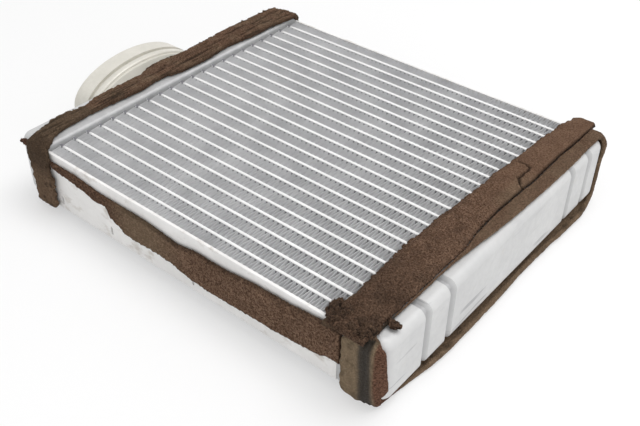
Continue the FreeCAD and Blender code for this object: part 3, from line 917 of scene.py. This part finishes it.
near_strip = skin("foam_near_strip_soft",
                  side_rows(1.0, 154.8, NEAR_UPPER, NEAR_LOWER, PLATE_Y, -1, 0.55), False,
                  near_lumps, near_look)
ride(near_strip, "foam_near_strip")
ride(fuzz("foam_near_strip_fibres", near_strip, 3500, 0.2, 0.7, 0.9, 17,
          lambda p, n: 1 if n.y < 0.2 else 0))

far_lo, far_hi = [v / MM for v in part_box("foam_far_strip")]


def far_lumps(p, n):
    return 0 if n.y < -0.6 else 0.14 * fractal(p, 1.2, 6.0, 3) + 0.15 * fractal(p, 6, 3.0, 2)


far_strip = skin("foam_far_strip_soft",
                 side_rows(0.4, 151.6, lambda x: far_hi.z, lambda x: far_lo.z, far_lo.y, 1, 0.8), False,
                 far_lumps, lambda p, n: (0.3, 0.0, 0.1, 0.0, 0.4))
ride(far_strip, "foam_far_strip")


# Torn tufts
def tuft(name, centre, radii, seed, rust, dark, rough, hairs, hair):
    """A ragged lump of torn foam with loose fibres."""
    rows = []
    steps, sides = 30, 48
    for i in range(1, steps):
        polar = math.pi * i / steps
        row = []
        for j in range(sides):
            a = 2 * math.pi * j / sides
            row.append((centre[0] + radii[0] * math.cos(polar),
                        centre[1] + radii[1] * math.sin(polar) * math.cos(a),
                        centre[2] + radii[2] * math.sin(polar) * math.sin(a)))
        rows.append(row)

    def lumps(p, n):
        return rough * (fractal(p, 1.6, seed, 4) * 1.5 + fractal(p, 0.8, seed + 3, 2) * 0.6)

    def look(p, n):
        # painted shade in the tuft's hollows, over its own dark tone
        return 0.1, 0.46 + 0.5 * dark * ramp(0.1, -0.4, fractal(p, 1.6, seed, 4)), rust, 0.0, 0.0

    obj = skin(name, rows, False, lumps, look)
    ride(obj)
    ride(fuzz(name + "_fibres", obj, hairs, hair[0], hair[1], 1.2, int(seed * 10)))


tuft("foam_tuft_corner", (FRONT - 0.9, -76.4, 34.6), (4.4, 4.4, 1.7), 1.0, 0.06, 1.0, 1.0, 1400, (0.5, 1.4))
tuft("foam_tuft_front", (FRONT + 9.4, -77.4, 34.4), (5.2, 3.4, 1.5), 2.0, 0.05, 1.0, 0.9, 900, (0.5, 1.3))
tuft("foam_tuft_tip", (FRONT + 15.6, -69.2, 33.4), (2.5, 1.7, 0.9), 3.0, 0.15, 0.9, 0.4, 300, (0.3, 0.8))
tuft("foam_curl_rear", (REAR - 12.6, -79.4, 30.4), (2.6, 1.1, 0.9), 4.0, 0.6, 0.5, 0.4, 250, (0.3, 0.8))


# Floor, light and camera, in metres
FLOOR_GREY = 0.87
FLOOR_GLOW = 0.48       # how much of the floor seen by the camera is plain white
FLOOR_DROP = 0.0002
FLOOR_HALF = 3.0
WORLD_LIGHT = 0.62


def floor():
    mat, tree, bsdf = shader("floor_white")
    out = next(n for n in tree.nodes if n.type == "OUTPUT_MATERIAL")
    bsdf.inputs["Base Color"].default_value = (FLOOR_GREY, FLOOR_GREY, FLOOR_GREY, 1)
    bsdf.inputs["Roughness"].default_value = 0.8
    bsdf.inputs["Specular IOR Level"].default_value = 0.1
    glow = add(tree, "ShaderNodeEmission")
    glow.inputs["Color"].default_value = (1, 1, 1, 1)
    glow.inputs["Strength"].default_value = 1.0
    seen = add(tree, "ShaderNodeLightPath").outputs["Is Camera Ray"]
    mix = add(tree, "ShaderNodeMixShader")
    tree.links.new(compute(tree, "MULTIPLY", seen, FLOOR_GLOW), mix.inputs[0])
    tree.links.new(bsdf.outputs[0], mix.inputs[1])
    tree.links.new(glow.outputs[0], mix.inputs[2])
    tree.links.new(mix.outputs[0], out.inputs["Surface"])
    s = FLOOR_HALF
    corners = [(-s, -s, 0), (s, -s, 0), (s, s, 0), (-s, s, 0)]
    obj = build("floor", corners, [(0, 1, 2, 3)], mat, smooth=False)
    obj.location.z = -FLOOR_DROP
    obj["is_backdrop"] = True


def world():
    """Soft light all round, and plain white where the camera or a gloss sees it."""
    w = bpy.data.worlds.new("studio")
    bpy.context.scene.world = w
    w.use_nodes = True
    tree = w.node_tree
    tree.nodes.clear()
    out = add(tree, "ShaderNodeOutputWorld")
    path = add(tree, "ShaderNodeLightPath")
    mix = add(tree, "ShaderNodeMixShader")
    tree.links.new(compute(tree, "MAXIMUM", path.outputs["Is Camera Ray"], path.outputs["Is Glossy Ray"]),
                   mix.inputs[0])
    for socket, strength in ((mix.inputs[1], WORLD_LIGHT), (mix.inputs[2], 1.0)):
        background = add(tree, "ShaderNodeBackground")
        background.inputs["Color"].default_value = (1, 1, 1, 1)
        background.inputs["Strength"].default_value = strength
        tree.links.new(background.outputs[0], socket)
    tree.links.new(mix.outputs[0], out.inputs["Surface"])


def lamp(name, spot, size, watts):
    """A square lamp that looks at the origin."""
    light = bpy.data.lights.new(name, "AREA")
    light.shape = "SQUARE"
    light.size = size
    light.energy = watts
    obj = bpy.data.objects.new(name, light)
    bpy.context.scene.collection.objects.link(obj)
    obj.location = spot
    obj.rotation_mode = "QUATERNION"
    obj.rotation_quaternion = (Vector((0, 0, 0)) - Vector(spot)).to_track_quat("-Z", "Y")


def camera():
    """The photo's camera, as fitted to points in it: focal length and middle in pixels, angles in radians."""
    wide, high = 640, 426
    focal, across, down = 888.454, 318.485, 214.164
    azimuth, elevation, roll = 0.677644, 0.670896, 0.015956
    eye = Vector((0.20657, -0.24129, 0.23759))
    sensor = 36
    forward = Vector((-math.sin(azimuth) * math.cos(elevation), math.cos(azimuth) * math.cos(elevation),
                      -math.sin(elevation)))
    right = forward.cross(Vector((0, 0, 1))).normalized()
    up = right.cross(forward)
    turned_right = right * math.cos(roll) + up * math.sin(roll)
    turned_up = up * math.cos(roll) - right * math.sin(roll)
    cam = bpy.data.cameras.new("camera")
    cam.sensor_width = sensor
    cam.lens = focal * sensor / wide
    cam.shift_x = (wide / 2 - across) / wide
    cam.shift_y = (down - high / 2) / wide
    cam.clip_start = 0.01
    obj = bpy.data.objects.new("camera", cam)
    bpy.context.scene.collection.objects.link(obj)
    basis = Matrix((turned_right, turned_up, -forward)).transposed()
    obj.matrix_world = Matrix.Translation(eye) @ basis.to_4x4()
    bpy.context.scene.camera = obj


floor()
world()
lamp("key", (0.30, 0.22, 1.1), 0.7, 7.5)
lamp("fill", (0.9, -0.7, 0.6), 0.8, 3.2)
camera()
scene = bpy.context.scene
scene.view_settings.view_transform = "Standard"

lo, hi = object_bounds()
